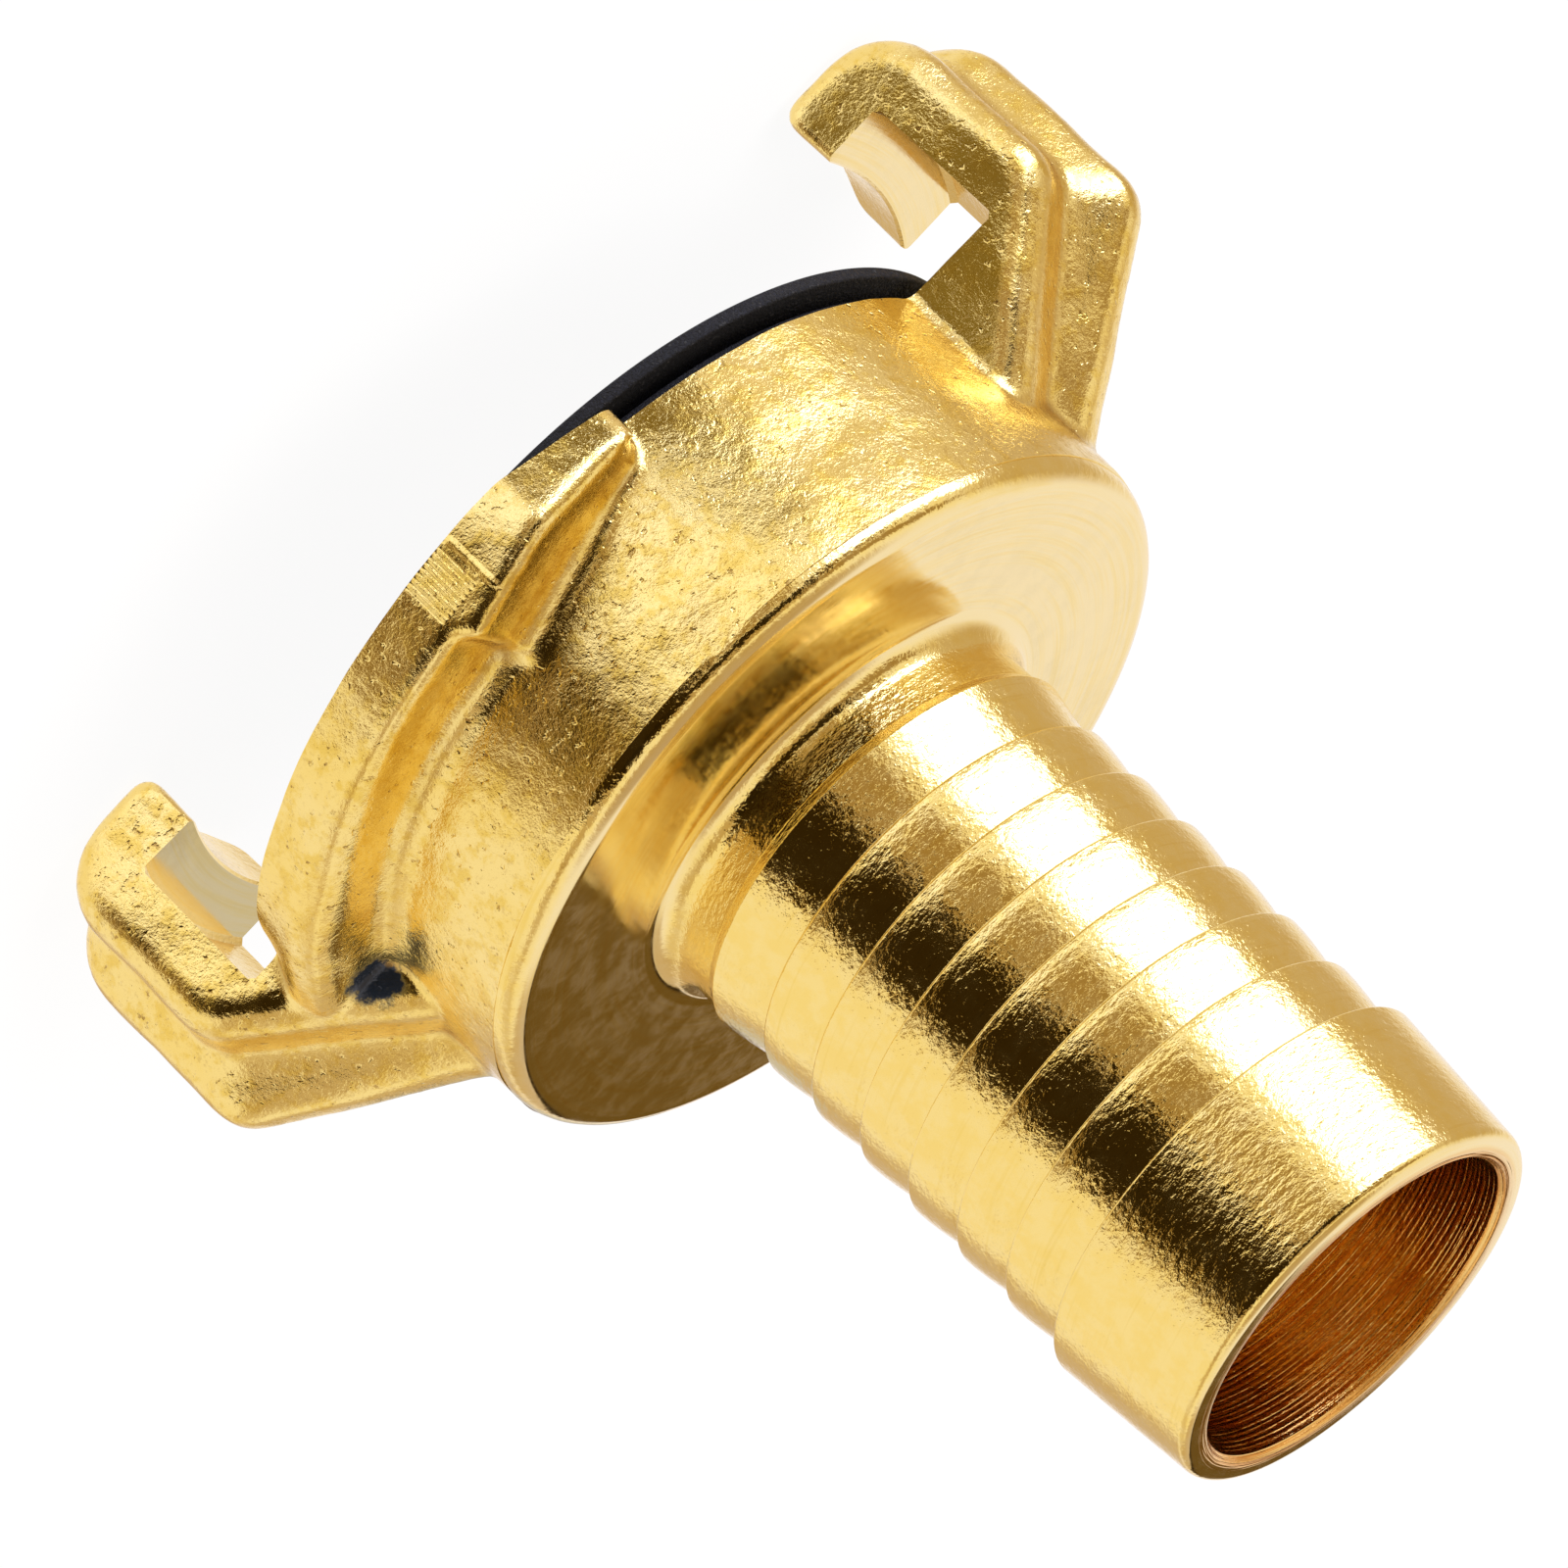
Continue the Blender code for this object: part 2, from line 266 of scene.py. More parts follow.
def loft(name, rings):
    """A solid through rings of the same number of points."""
    bm = bmesh.new()
    rings = [[bm.verts.new(point) for point in ring] for ring in rings]
    for near, far in zip(rings, rings[1:]):
        for i in range(len(near)):
            bm.faces.new((near[i - 1], near[i], far[i], far[i - 1]))
    bm.faces.new(rings[0])
    bm.faces.new(rings[-1])
    bmesh.ops.recalc_face_normals(bm, faces=bm.faces[:])
    return mesh_object(name, bm)


def joined(name, objects):
    """The objects' meshes in one object, still as separate shells."""
    bm = bmesh.new()
    for obj in objects:
        mesh = obj.data.copy()
        mesh.transform(obj.matrix_basis)
        bm.from_mesh(mesh)
        bpy.data.meshes.remove(mesh)
        bpy.data.objects.remove(obj, do_unlink=True)
    return mesh_object(name, bm)


# ---------------------------------------------------------------- forging


def wing_back(angle):
    """Height of the wing's back at an angle: a slow fall from the claw, the jog, then the lead-in."""
    along = (angle - WING_START) / (JOG_ANGLE - WING_START)
    first = WING_BACK_AT_CLAW + (WING_BACK_AT_JOG - WING_BACK_AT_CLAW) * smooth_step(min(along, 1.0))
    lead = (angle - JOG_ANGLE) / (WING_END - JOG_ANGLE)
    second = WING_BACK_AFTER_JOG + (WING_BACK_AT_TIP - WING_BACK_AFTER_JOG) * max(lead, 0.0)
    return first + (second - first) * smooth_step((JOG_ANGLE - angle) / JOG_WIDTH + 0.5)


def wing_radius(angle):
    """Outer radius of the wing: the full flange, cut back to a flat on the lead-in tooth."""
    normal = FACET_START - FACET_TURN
    flat = FLANGE_RADIUS * math.cos(math.radians(FACET_TURN)) / math.cos(math.radians(angle - normal))
    return min(FLANGE_RADIUS, flat) if angle < FACET_START else FLANGE_RADIUS


def wing_ring(angle, side):
    """The wing's section at an angle, with a relief beside the claw and a soft back edge."""
    past_tip = WING_TIP_ROUND - math.radians(angle - WING_END) * FLANGE_RADIUS
    tip = WING_TIP_ROUND - math.sqrt(WING_TIP_ROUND**2 - max(0.0, past_tip) ** 2)
    back = wing_back(angle) - tip
    outer = wing_radius(angle) - WING_TIP_LEAN * tip
    run_out = smooth_step((angle - WING_END) / WING_RUN_OUT)
    fillet = WING_FILLET_AT_TIP + (WING_FILLET - WING_FILLET_AT_TIP) * run_out
    relief = RELIEF_DEPTH * smooth_step((angle - RELIEF_START) / (WING_START - RELIEF_START))
    growth = smooth_step((angle - WING_BEVEL_FROM) / (WING_BEVEL_TO - WING_BEVEL_FROM))
    bevel = WING_BEVEL + WING_BEVEL_GROWTH * growth
    section = [
        (WING_INNER_RADIUS, FRONT - STOCK),
        (outer - relief, FRONT - STOCK),
        (outer - relief, FRONT),
        (outer, RELIEF_TOP),
        (outer, back - bevel),
        (outer - BEVEL_MIDDLE * bevel, back - BEVEL_MIDDLE * bevel),
        (outer - bevel, back),
        (HEAD_FRONT_RADIUS + fillet, back),
        (HEAD_FRONT_RADIUS + BEVEL_MIDDLE * fillet, back + BEVEL_MIDDLE * fillet),
        (HEAD_FRONT_RADIUS, back + fillet),
        (WING_INNER_RADIUS, back + fillet),
    ]
    turn = math.radians(angle + side)
    return [(r * math.cos(turn), r * math.sin(turn), z) for r, z in section]


def wing(side):
    """One wing of the cam flange, turned round the axis by side degrees."""
    count = round((WING_START - WING_END) / WING_STEP)
    angles = [WING_START + (WING_END - WING_START) * i / count for i in range(count + 1)]
    return loft(f"wing_{side}", [wing_ring(angle, side) for angle in angles])


def edge_drop(y, half_width, radius):
    """How far a rounded edge has fallen away at this distance from the middle."""
    past = max(0.0, abs(y) - (half_width - radius))
    return radius - math.sqrt(max(0.0, radius * radius - past * past))


def rib_crest(y):
    """The height of the rib on the claw's back, from 1 along its middle to 0 beside it."""
    across = (abs(y) - RIB_FLAT_HALF_WIDTH) / (RIB_HALF_WIDTH - RIB_FLAT_HALF_WIDTH)
    return 0.5 + 0.5 * math.cos(math.pi * min(1.0, max(0.0, across)))


def claw_ring(y):
    """The claw's section at y, from the side: hook, straight back and the strut down to the head."""
    drop = edge_drop(y, CLAW_HALF_WIDTH, BACK_EDGE_ROUND)
    crest = rib_crest(y)
    rib = RIB_OUTER - CLAW_OUTER
    outer = CLAW_OUTER - drop + crest * rib
    top = edge_drop(y, CLAW_HALF_WIDTH, HOOK_EDGE_ROUND) + crest * RIB_DROP_AT_END
    strut = STRUT_HEIGHT - 0.5 * drop + crest * rib
    slope = STRUT_SLOPE + (STRUT_SLOPE_ON_RIB - STRUT_SLOPE) * crest
    points = [
        (CLAW_TIP_REACH, top),
        (outer, top),
        (outer, strut),
        (CLAW_BURY_REACH, strut + (outer - CLAW_BURY_REACH) * slope),
        (CLAW_BURY_REACH, FRONT - STOCK),
        (CLAW_TIP_REACH, HOOK_FACE + STOCK),
    ]
    radii = [CLAW_TIP_ROUND, CLAW_TOP_ROUND, STRUT_ROUND, 0, 0, 0]
    return [(x, y, z) for x, z in rounded(points, radii, CLAW_ROUND_STEPS)]


def claw(side):
    """One claw, turned round the axis by side degrees."""
    turns = [math.pi / 2 * (2 * i / CLAW_SECTIONS - 1) for i in range(CLAW_SECTIONS + 1)]
    obj = loft(f"claw_{side}", [claw_ring(CLAW_HALF_WIDTH * math.sin(turn)) for turn in turns])
    obj.data.transform(Matrix.Rotation(math.radians(side), 4, "Z"))
    return obj


def uneven(obj):
    """Moves the surface in and out a little, as a die and scale leave it."""
    bm = bmesh.new()
    bm.from_mesh(obj.data)
    bm.normal_update()
    for vert in bm.verts:
        height = sum(depth * noise.noise(vert.co / length) for length, depth in SKIN_WAVES)
        vert.co += vert.normal * height
    bm.to_mesh(obj.data)
    bm.free()
    return obj


def forging():
    """Head, flange, claws and the bar that the tail is turned from, run together with soft edges."""
    head = turned(
        "head_stock",
        [
            (0.0, BACK + STOCK),
            (HEAD_BACK_RADIUS, BACK + STOCK),
            (HEAD_FRONT_RADIUS, FRONT - STOCK),
            (0.0, FRONT - STOCK),
        ],
    )
    bar_end = TAIL_END + STOCK
    bar = turned("bar_stock", [(0.0, bar_end), (BAR_RADIUS, bar_end), (BAR_RADIUS, BACK), (0.0, BACK)])
    parts = [head, bar]
    parts += [wing(side) for side in (0, 180)]
    parts += [claw(side) for side in (0, 180)]
    stock = joined("forging", parts)
    remesh = stock.modifiers.new("Run together", "REMESH")
    remesh.mode = "VOXEL"
    remesh.voxel_size = VOXEL
    soften = stock.modifiers.new("Soften", "SMOOTH")
    soften.factor = SMOOTHING
    soften.iterations = SMOOTHING_STEPS
    return uneven(evaluated(stock))


# ---------------------------------------------------------------- turned envelope


def barb_corners():
    """The barbs from the hose end inwards, as corners and their radii.

    Each is a bulging taper up to a soft crest, then a small step down.
    """
    corners = []
    crests = [(END_BARB_RADIUS, END_BARB)]
    for i in reversed(range(BARB_COUNT)):
        crests.append((BARB_PEAK, FIRST_BARB + i * BARB_PITCH))
    root = None
    for radius, height in crests:
        if root:
            for part in BARB_POINTS:
                rise = (radius - BARB_ROOT) * (1 - (1 - part) ** BARB_BULGE)
                corners.append(((BARB_ROOT + rise, root + (height - root) * part), 0))
        root = height - BARB_STEP
        corners.append(((radius, height), BARB_CREST_ROUND))
        corners.append(((BARB_ROOT, root), BARB_ROOT_ROUND))
    return corners


def envelope():
    """Everything that turning leaves.

    The outline runs down the outside from the hose end, round the claws and back up the bore.
    """
    outside = [
        ((BORE_RADIUS + BORE_CHAMFER, TAIL_END), END_FACE_ROUND),
        ((TAIL_END_RADIUS, TAIL_END), TAIL_END_ROUND),
        *barb_corners(),
        ((NECK_LAND_RADIUS, NECK_LAND), NECK_LAND_ROUND),
        ((NECK_RADIUS, NECK_LAND - NECK_LAND_DROP), NECK_STEP_ROUND),
        ((NECK_RADIUS, BACK), NECK_FILLET),
        ((HEAD_BACK_RADIUS, BACK), HEAD_BACK_ROUND),
        ((HEAD_BACK_RADIUS, BACK - HEAD_BACK_ROUND), 0),
        ((OUTSIDE, BACK - HEAD_BACK_ROUND), 0),
    ]
    front = [
        (OUTSIDE, -STOCK),
        (HOOK_TIP_RADIUS, -STOCK),
        (HOOK_TIP_RADIUS, HOOK_FACE - EDGE_BREAK),
        (HOOK_TIP_RADIUS + EDGE_BREAK, HOOK_FACE),
        (CLAW_INNER_RADIUS - CLAW_CORNER_BREAK, HOOK_FACE),
        (CLAW_INNER_RADIUS, HOOK_FACE + CLAW_CORNER_BREAK),
        (CLAW_INNER_RADIUS, FRONT - CLAW_CORNER_BREAK),
        (CLAW_INNER_RADIUS - CLAW_CORNER_BREAK, FRONT),
        (MOUTH_RADIUS + EDGE_BREAK, FRONT),
        (MOUTH_RADIUS, FRONT + EDGE_BREAK),
        (MOUTH_RADIUS, MOUTH_LIP),
        (GROOVE_RADIUS, MOUTH_LIP),
        (GROOVE_RADIUS, GROOVE_END),
        (MOUTH_RADIUS, MOUTH_FLOOR),
        (MOUTH_FLOOR_RADIUS, MOUTH_FLOOR),
        (BORE_RADIUS, THROAT),
        (BORE_RADIUS, TAIL_END - BORE_CHAMFER),
    ]
    corners = outside + [(point, 0) for point in front]
    points, radii = zip(*corners)
    return turned("turned_envelope", rounded(points, radii))


def coupling_body():
    """The forging, cut by the turned envelope, with each one's material on its own faces."""
    body = forging()
    body.name = "brass_body"
    body.data.materials.append(forged_brass())
    cutter = envelope()
    cutter.data.materials.append(turned_brass())
    cut = body.modifiers.new("Turn", "BOOLEAN")
    cut.operation = "INTERSECT"
    cut.object = cutter
    cut.solver = "MANIFOLD"
    cut.material_mode = "TRANSFER"
    evaluated(body)
    bpy.data.objects.remove(cutter, do_unlink=True)
    return body


# ---------------------------------------------------------------- seal


def form_seal():
    """The rubber seal: a thin front flange, a slot behind it, the rear lip and the bead in the groove.

    The outline's corners have their radii beside them.
    """
    front = SEAL_FACE
    slot_front = front + SEAL_FLANGE
    slot_back = slot_front + SEAL_SLOT
    lip_back = FRONT - SEAL_LIP_AIR
    bead_front = MOUTH_LIP + SEAL_AIR
    corners = [
        ((SEAL_INNER_RADIUS, SEAL_INNER_END), 0),
        ((SEAL_BEAD_END_RADIUS, SEAL_INNER_END), 0.2),
        ((SEAL_BEAD_RADIUS, GROOVE_END - SEAL_BEAD_TAPER), 0.2),
        ((SEAL_BEAD_RADIUS, bead_front), 0.2),
        ((SEAL_STEM_RADIUS, bead_front), 0),
        ((SEAL_STEM_RADIUS, lip_back), 0),
        ((SEAL_LIP_RADIUS, lip_back), 0.08),
        ((SEAL_LIP_RADIUS, slot_back), 0.08),
        ((SEAL_SLOT_RADIUS, slot_back), 0.1),
        ((SEAL_SLOT_RADIUS, slot_front), 0.1),
        ((SEAL_FLANGE_RADIUS, slot_front), 0.12),
        ((SEAL_FLANGE_RADIUS, front), 0.12),
        ((SEAL_HOLE_RADIUS, front), 0.8),
        ((SEAL_HOLE_RADIUS, SEAL_HOLE_END), 0.2),
        ((SEAL_INNER_RADIUS, SEAL_INNER_START), 0.3),
    ]
    points, radii = zip(*corners)
    seal = turned("form_seal_rubber", rounded(points, radii, SEAL_ROUND_STEPS))
    seal.data.materials.append(rubber())
    return seal


# ---------------------------------------------------------------- node trees


class Nodes:
    """Short calls for building one node tree."""

    def __init__(self, tree):
        self.tree = tree
        self.shader = tree.nodes.get("Principled BSDF")

    def plug(self, socket, value):
        """Links another node's output to a socket, or gives the socket a value of its own."""
        if isinstance(value, bpy.types.NodeSocket):
            self.tree.links.new(value, socket)
        else:
            socket.default_value = value

    def set(self, socket, value):
        self.plug(self.shader.inputs[socket], value)

    def add(self, kind, inputs=None, **settings):
        node = self.tree.nodes.new(kind)
        for key, value in settings.items():
            setattr(node, key, value)
        for key, value in (inputs or {}).items():
            self.plug(node.inputs[key], value)
        return node

    def math(self, operation, a, b=0.0, c=0.0):
        return self.add("ShaderNodeMath", {0: a, 1: b, 2: c}, operation=operation).outputs[0]

    def noise(self, vector, scale, detail, roughness):
        inputs = {"Vector": vector, "Scale": scale, "Detail": detail, "Roughness": roughness}
        return self.add("ShaderNodeTexNoise", inputs).outputs["Fac"]

    def ramp(self, value, low, high, to_low=0.0, to_high=1.0, smooth=True):
        """The value's run from low to high, as a run from to_low to to_high."""
        inputs = {"Value": value, "From Min": low, "From Max": high, "To Min": to_low, "To Max": to_high}
        kind = "SMOOTHSTEP" if smooth else "LINEAR"
        return self.add("ShaderNodeMapRange", inputs, interpolation_type=kind).outputs["Result"]

    def fade(self, value, edge, soft):
        """1 below an edge and 0 beyond it, over a soft stretch."""
        return self.ramp(value, edge + soft / 2, edge - soft / 2)

    def mix(self, factor, first, second, blend="MIX"):
        # A Mix node keeps its colours' factor and two inputs at these places
        inputs = {0: factor, 6: first, 7: second}
        return self.add("ShaderNodeMix", inputs, data_type="RGBA", blend_type=blend).outputs[2]

    def place(self):
        """Object coordinates in millimetres."""
        inputs = {0: self.add("ShaderNodeTexCoord").outputs["Object"], "Scale": 1 / MM}
        return self.add("ShaderNodeVectorMath", inputs, operation="SCALE").outputs[0]

    def axis_distance(self, x, y):
        """Distance from the bore axis."""
        return self.math("SQRT", self.math("ADD", self.math("MULTIPLY", x, x), self.math("MULTIPLY", y, y)))

    def bump(self, height, depth, normal=None):
        """The surface's normal with a relief on it, whose depth is in millimetres."""
        inputs = {"Height": height, "Distance": depth * MM, "Strength": 1.0}
        if normal is not None:
            inputs["Normal"] = normal
        return self.add("ShaderNodeBump", inputs).outputs["Normal"]


def new_material(name):
    """A material, and the calls for its nodes."""
    material = bpy.data.materials.new(name)
    material.use_nodes = True
    return material, Nodes(material.node_tree)


# ---------------------------------------------------------------- materials

BRASS = (0.93, 0.70, 0.195, 1.0)
BRASS_PALE = (0.94, 0.735, 0.25, 1.0)
BRASS_DEEP = (0.83, 0.565, 0.08, 1.0)
# A dark brown for real stains and specks, also used as painted shade in the hollows
BRASS_STAIN_AND_SHADE = (0.33, 0.17, 0.04, 1.0)
BORE_REFLECTION_RED = (0.82, 0.40, 0.08, 1.0)
BRASS_CREAM = (0.92, 0.775, 0.42, 1.0)
POCKET_BLUE_BLACK = (0.018, 0.026, 0.04, 1.0)
RUBBER = (0.008, 0.008, 0.008, 1.0)
RUBBER_PALE = (0.06, 0.058, 0.055, 1.0)
RUBBER_SHINE = 0.35
BLACK = (0.0, 0.0, 0.0, 1.0)

# Noise patterns: scale per millimetre, detail, roughness
BROAD = (0.25, 3.0, 0.55)
MOTTLE = (1.1, 5.0, 0.68)
GRAIN = (4.0, 3.0, 0.6)
FIBRE = (9.0, 2.0, 0.6)
SPECKS = (2.6, 2.0, 0.5)
TURNED_MOTTLE = (0.9, 4.0, 0.65)
TURNED_NICKS = (5.5, 2.0, 0.6)
RUBBER_SPECKS = (4.5, 3.0, 0.65)
RUBBER_PITS = (9.0, 2.0, 0.5)
# Patterns drawn out along the cut: scale round it, scale across it, detail
MARKS = (0.12, 4.5, 2.0)
FEATHER = (1.7, 3.6, 3.0)
DRAWN_ROUGHNESS = 0.6

# Where a pattern brings in a tone: from, to, and how much of the tone there is at each
PALE_IN = (0.38, 0.62, 0.0, 1.0)
DEEP_IN = (0.46, 0.64, 0.0, 0.7)
GRAIN_IN = (0.54, 0.72, 0.0, 0.22)
SPECKS_IN = (0.66, 0.74, 0.0, 0.75)
SPECKS_BY_MOTTLE = (0.42, 0.6, 0.0, 1.0)
HOLLOW_SHADE_IN = (0.492, 0.458, 0.0, 0.8)
EDGES_IN = (0.52, 0.58, 0.0, 0.7)
SPECK_PITS = (0.62, 0.74, 1.0, 0.0)
FORGED_ROUGHNESS = (0.35, 0.65, 0.08, 0.20)
TURNED_DEEP_IN = (0.55, 0.75, 0.0, 0.35)
CREAM_IN = (0.40, 0.66, 0.85, 0.45)
BORE_REFLECTION_IN = (0.35, 0.65, 0.45, 1.0)
NICKS_IN = (0.5, 0.8, 0.0, 1.0)
TURNED_ROUGHNESS = (0.35, 0.65, 0.06, 0.13)
RUBBER_PALE_IN = (0.58, 0.72, 0.0, 1.0)
RUBBER_ROUGHNESS = (0.3, 0.7, 0.5, 0.8)

# Depths of the fine relief, in millimetres
RIM_RELIEF = 0.035
MOTTLE_RELIEF = 0.040
GRAIN_RELIEF = 0.018
FIBRE_RELIEF = 0.010
SPECK_RELIEF = 0.02
MARK_RELIEF = 0.007
GROOVE_RELIEF = 0.010
NICK_RELIEF = 0.006
FEATHER_RELIEF = 0.038
RUBBER_SPECK_RELIEF = 0.09
RUBBER_PIT_RELIEF = 0.05

# How the bore's wall and the flat faces differ from the other turned faces
BORE_WALL = (BORE_RADIUS + 0.9, BORE_RADIUS + 0.3)
FLAT_FACING = (0.6, 0.95)
FLAT_ROUGHER = 0.03
BORE_ROUGHER = 0.06
FLAT_MARKS_CHANGE = -0.75
BORE_MARKS_CHANGE = 3.0
GROOVE_WANDER = 9.0

# The pocket between wing, head and claw, which is painted a flat blue-black without metal shine
POCKET = (18.7, 6.3, 14.75)
POCKET_RADIUS = 0.05
POCKET_EDGE = 0.25
POCKET_RAGGED = 2.2

# The fine ribs that a die has left on the flange's rim, and the bead beside them
RIM_FROM = 21.8
RIBS_FROM = math.radians(75.0)
RIBS_TO = math.radians(81.2)
RIBS_ANGLE_FADE = math.radians(0.5)
RIBS_LOW = 10.8
RIBS_HIGH = 13.0
RIBS_HEIGHT_FADE = 0.3
RIBS_WORN = (0.35, 0.5, 0.3, 1.0)
RIB_PITCH = 0.27
BEAD_ANGLE = math.radians(82.2)
BEAD_HALF_WIDTH = math.radians(0.65)
BEAD_HIGH = 13.9
BEAD_OVER_RIBS = 1.3


def pocket_mask(n, mottle, x, y, z):
    """1 in the dark pocket, which both halves of the body have, so x and y lose their signs."""
    folded = {0: n.math("ABSOLUTE", x), 1: n.math("ABSOLUTE", y), 2: z}
    inputs = {0: n.add("ShaderNodeCombineXYZ", folded).outputs[0], 1: POCKET}
    away = n.add("ShaderNodeVectorMath", inputs, operation="DISTANCE").outputs["Value"]
    away = n.math("MULTIPLY_ADD", mottle, -POCKET_RAGGED, away)
    return n.ramp(away, POCKET_RADIUS + POCKET_EDGE, POCKET_RADIUS - POCKET_EDGE)


def rim_marks(n, grain, x, y, z):
    """Height of the ribs and the bead on the flange's rim."""
    angle = n.math("ARCTAN2", n.math("ABSOLUTE", y), n.math("ABSOLUTE", x))
    bead = n.ramp(n.math("ABSOLUTE", n.math("SUBTRACT", angle, BEAD_ANGLE)), BEAD_HALF_WIDTH, 0.0)
    bead = n.math("MULTIPLY", bead, n.ramp(z, BEAD_HIGH, BEAD_HIGH - RIBS_HEIGHT_FADE))
    ribs = n.math("SINE", n.math("MULTIPLY", angle, 2 * math.pi * FLANGE_RADIUS / RIB_PITCH))
    for edge in (
        n.ramp(angle, RIBS_FROM, RIBS_FROM + RIBS_ANGLE_FADE),
        n.ramp(angle, RIBS_TO, RIBS_TO - RIBS_ANGLE_FADE),
        n.ramp(z, RIBS_HIGH, RIBS_HIGH - RIBS_HEIGHT_FADE),
        n.ramp(grain, *RIBS_WORN),
    ):
        ribs = n.math("MULTIPLY", ribs, edge)
    on_rim = n.math("GREATER_THAN", n.axis_distance(x, y), RIM_FROM)
    on_rim = n.math("MULTIPLY", on_rim, n.ramp(z, RIBS_LOW - RIBS_HEIGHT_FADE, RIBS_LOW))
    return n.math("MULTIPLY", n.math("MULTIPLY_ADD", bead, BEAD_OVER_RIBS, ribs), on_rim)


def forged_brass():
    """The forged skin: mottled and specked, with painted shade darkening its hollows, and paler where its
    edges are rubbed.
    """
    material, n = new_material("forged_brass")
    place = n.place()
    x, y, z = n.add("ShaderNodeSeparateXYZ", {0: place}).outputs
    curvature = n.add("ShaderNodeNewGeometry").outputs["Pointiness"]
    mottle = n.noise(place, *MOTTLE)
    grain = n.noise(place, *GRAIN)
    specks = n.noise(place, *SPECKS)
    colour = n.mix(n.ramp(n.noise(place, *BROAD), *PALE_IN), BRASS, BRASS_PALE)
    colour = n.mix(n.ramp(mottle, *DEEP_IN), colour, BRASS_DEEP)
    colour = n.mix(n.ramp(grain, *GRAIN_IN), colour, BRASS_STAIN_AND_SHADE)
    stain = n.math("MULTIPLY", n.ramp(specks, *SPECKS_IN), n.ramp(mottle, *SPECKS_BY_MOTTLE))
    colour = n.mix(stain, colour, BRASS_STAIN_AND_SHADE)
    # Painted shade: hollows and creases are darkened with the dark brown where the surface curves inwards
    colour = n.mix(n.ramp(curvature, *HOLLOW_SHADE_IN), colour, BRASS_STAIN_AND_SHADE)
    colour = n.mix(n.ramp(curvature, *EDGES_IN), colour, BRASS_PALE)
    # The pocket and the rim's marks lie where x and y have opposite signs
    this_side = n.math("LESS_THAN", n.math("MULTIPLY", x, y), 0.0)
    pocket = n.math("MULTIPLY", pocket_mask(n, mottle, x, y, z), this_side)
    # The pocket is painted a dark blue-black and loses its metal shine
    n.set("Base Color", n.mix(pocket, colour, POCKET_BLUE_BLACK))
    n.set("Metallic", n.math("SUBTRACT", 1.0, pocket))
    n.set("Roughness", n.ramp(mottle, *FORGED_ROUGHNESS))
    normal = n.bump(n.math("MULTIPLY", rim_marks(n, grain, x, y, z), this_side), RIM_RELIEF)
    normal = n.bump(mottle, MOTTLE_RELIEF, normal)
    normal = n.bump(grain, GRAIN_RELIEF, normal)
    normal = n.bump(n.noise(place, *FIBRE), FIBRE_RELIEF, normal)
    n.set("Normal", n.bump(n.ramp(specks, *SPECK_PITS), SPECK_RELIEF, normal))
    return material


def along_cut(n, x, y, path, round_scale, cross_scale, detail):
    """Noise drawn out along the tool's path."""
    scaled = {0: n.math("MULTIPLY", x, round_scale), 1: n.math("MULTIPLY", y, round_scale)}
    scaled[2] = n.math("MULTIPLY", path, cross_scale)
    vector = n.add("ShaderNodeCombineXYZ", scaled).outputs[0]
    return n.noise(vector, 1.0, detail, DRAWN_ROUGHNESS)


def turned_brass():
    """The turned faces: marks along the cut, a grooved bore with painted red reflection, and creamier flat
    faces.
    """
    material, n = new_material("turned_brass")
    place = n.place()
    x, y, z = n.add("ShaderNodeSeparateXYZ", {0: place}).outputs
    radius = n.axis_distance(x, y)
    path = n.math("ADD", radius, z)
    marks = along_cut(n, x, y, path, *MARKS)
    feather = along_cut(n, x, y, path, *FEATHER)
    mottle = n.noise(place, *TURNED_MOTTLE)
    bore = n.ramp(radius, *BORE_WALL)
    facing = n.add("ShaderNodeSeparateXYZ", {0: n.add("ShaderNodeTexCoord").outputs["Normal"]}).outputs[2]
    flat = n.ramp(n.math("ABSOLUTE", facing), *FLAT_FACING)

    colour = n.mix(n.ramp(mottle, *PALE_IN), BRASS, BRASS_PALE)
    colour = n.mix(n.ramp(marks, *TURNED_DEEP_IN), colour, BRASS_DEEP)
    colour = n.mix(n.math("MULTIPLY", flat, n.ramp(marks, *CREAM_IN)), colour, BRASS_CREAM)
    # Painted reflection: the bore's wall is tinted red, as brass mirroring brass looks
    colour = n.mix(n.math("MULTIPLY", bore, n.ramp(marks, *BORE_REFLECTION_IN)), colour, BORE_REFLECTION_RED)
    n.set("Base Color", colour)
    n.set("Metallic", 1.0)
    rough = n.ramp(mottle, *TURNED_ROUGHNESS)
    rough = n.math("ADD", rough, n.math("MULTIPLY", flat, FLAT_ROUGHER))
    n.set("Roughness", n.math("ADD", rough, n.math("MULTIPLY", bore, BORE_ROUGHER)))

    depth = n.math("MULTIPLY_ADD", flat, FLAT_MARKS_CHANGE, 1.0)
    depth = n.math("MULTIPLY_ADD", bore, BORE_MARKS_CHANGE, depth)
    normal = n.bump(n.math("MULTIPLY", marks, depth), MARK_RELIEF)
    wander = n.math("MULTIPLY", marks, GROOVE_WANDER)
    turns = n.math("MULTIPLY_ADD", z, 2 * math.pi / BORE_GROOVE_PITCH, wander)
    normal = n.bump(n.math("MULTIPLY", n.math("SINE", turns), bore), GROOVE_RELIEF, normal)
    calm = n.math("SUBTRACT", 1.0, flat)
    nicks = n.ramp(n.noise(place, *TURNED_NICKS), *NICKS_IN)
    normal = n.bump(n.math("MULTIPLY", nicks, calm), NICK_RELIEF, normal)
    n.set("Normal", n.bump(n.math("MULTIPLY", feather, calm), FEATHER_RELIEF, normal))
    return material


